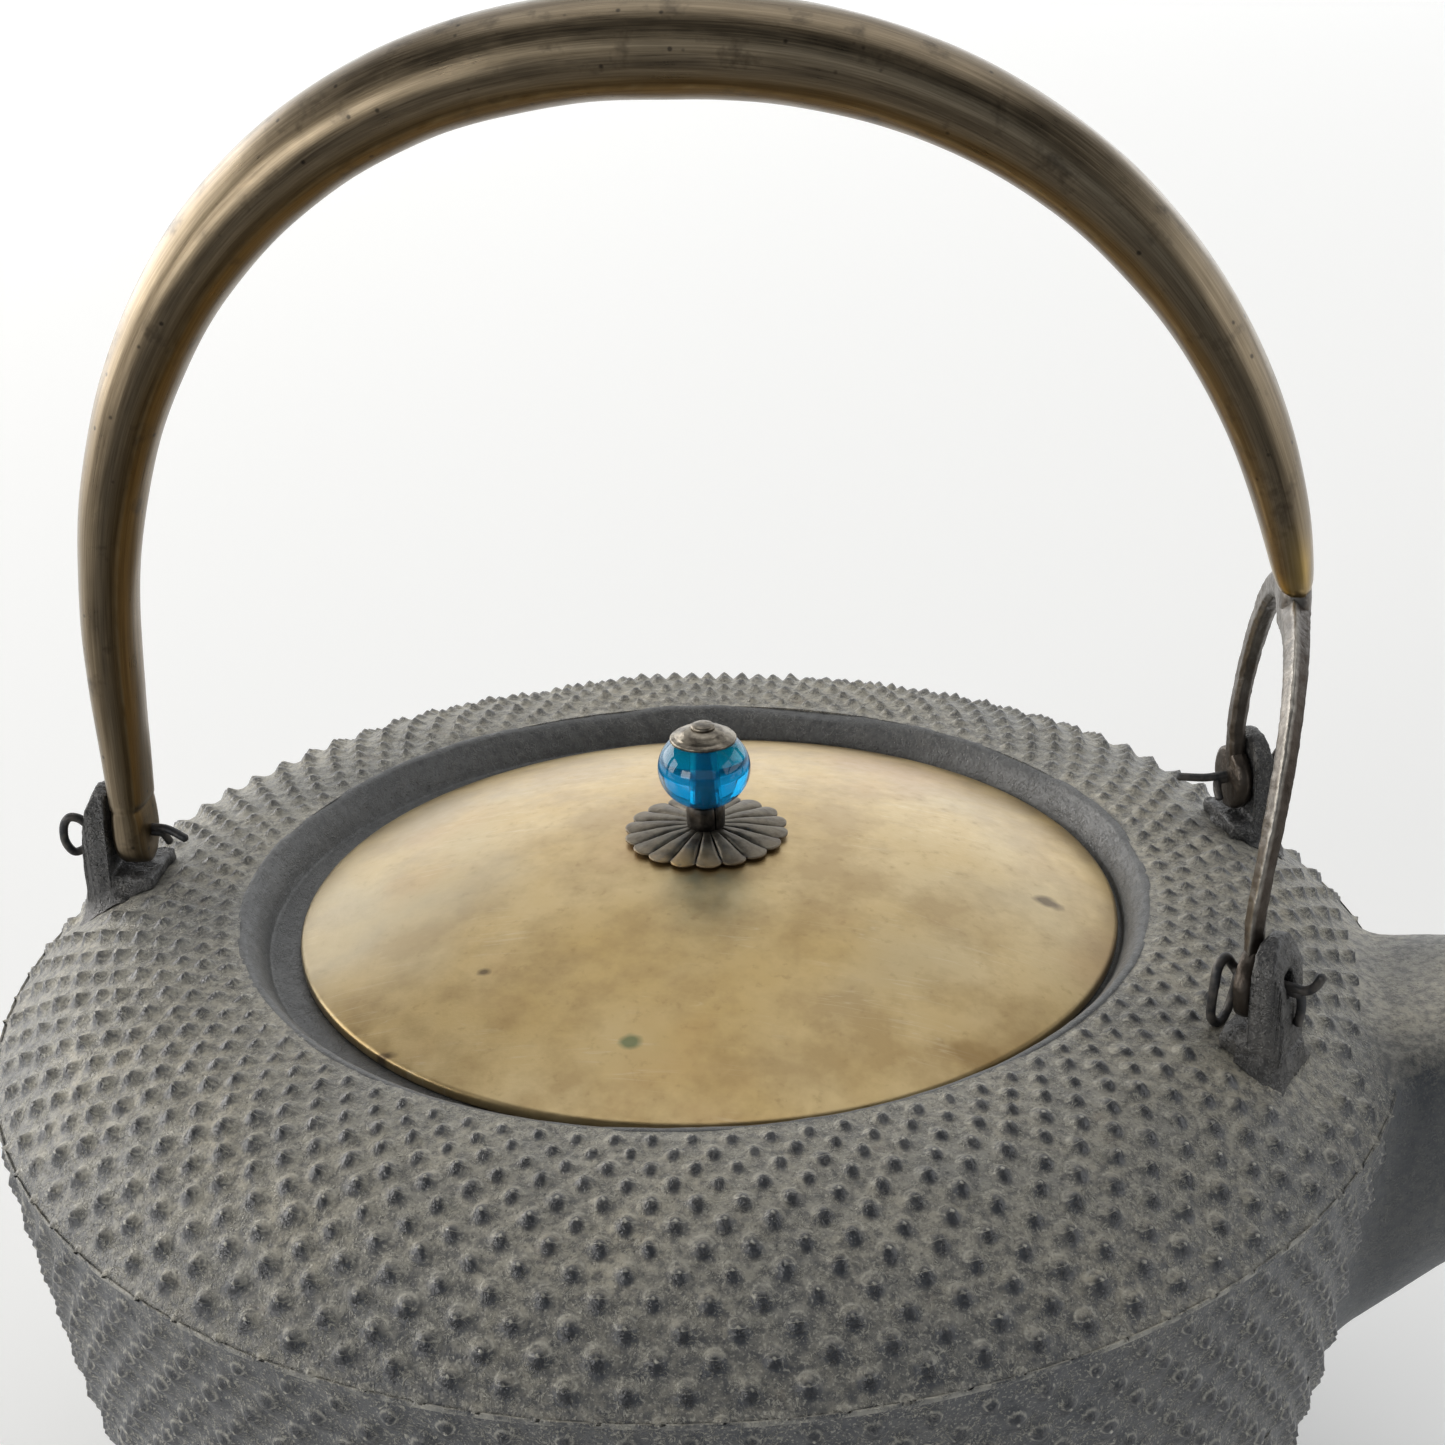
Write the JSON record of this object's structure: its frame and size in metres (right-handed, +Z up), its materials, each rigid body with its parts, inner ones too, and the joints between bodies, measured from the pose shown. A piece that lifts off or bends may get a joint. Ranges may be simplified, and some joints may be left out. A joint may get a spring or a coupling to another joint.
{
  "type": "teapot",
  "caption": "Low round cast iron teapot with a hobnailed body, short spout, domed brass lid with a glass bead knob, and an arched brass tube handle on an iron fork.",
  "frame": {"origin": "centre of the flat base", "axes": "+Z up, +X towards the spout"},
  "size_m": [0.2089, 0.1638, 0.1897],
  "materials": {
    "iron": "sand-cast, satin, with a warm grey bloom on the raised nubs",
    "ear_iron": "rough, nearly black, edges worn bright",
    "fork_iron": "hand-hammered, satin, with a bright ridge",
    "pin_wire": "dark, dull",
    "lid_brass": "aged, mottled brown gold, satin",
    "tube_brass": "aged, streaked along its length, satin",
    "flower_bronze": "dark bronze, worn gold on the petal tips",
    "knob_metal": "turned, dark",
    "bead_glass": "polished"
  },
  "bodies": {
    "pot": {"kettle_body": "iron", "spout": "iron", "ear_left": "ear_iron", "ear_near": "ear_iron", "ear_far": "ear_iron", "handle_tube": "tube_brass", "handle_fork": "fork_iron", "split_pin_left": "pin_wire", "split_pin_near": "pin_wire", "split_pin_far": "pin_wire"},
    "lid": {"lid_plate": "lid_brass", "lid_ring": "lid_brass", "knob_flower": "flower_bronze", "knob_collar": "knob_metal", "knob_cap": "knob_metal", "knob_post": "knob_metal", "lid_washer": "lid_brass"},
    "bead": {"knob_bead": "bead_glass"}
  },
  "joints": [
    {"name": "lid_lift", "type": "slide", "parent": "pot", "child": "lid", "axis": [0, 0, 1], "range_m": [0, 0.05]},
    {"name": "bead_turn", "type": "hinge", "parent": "lid", "child": "bead", "pos_m": [0.0016, 0, 0.1032], "axis": [0, 0, 1], "continuous": true}
  ]
}
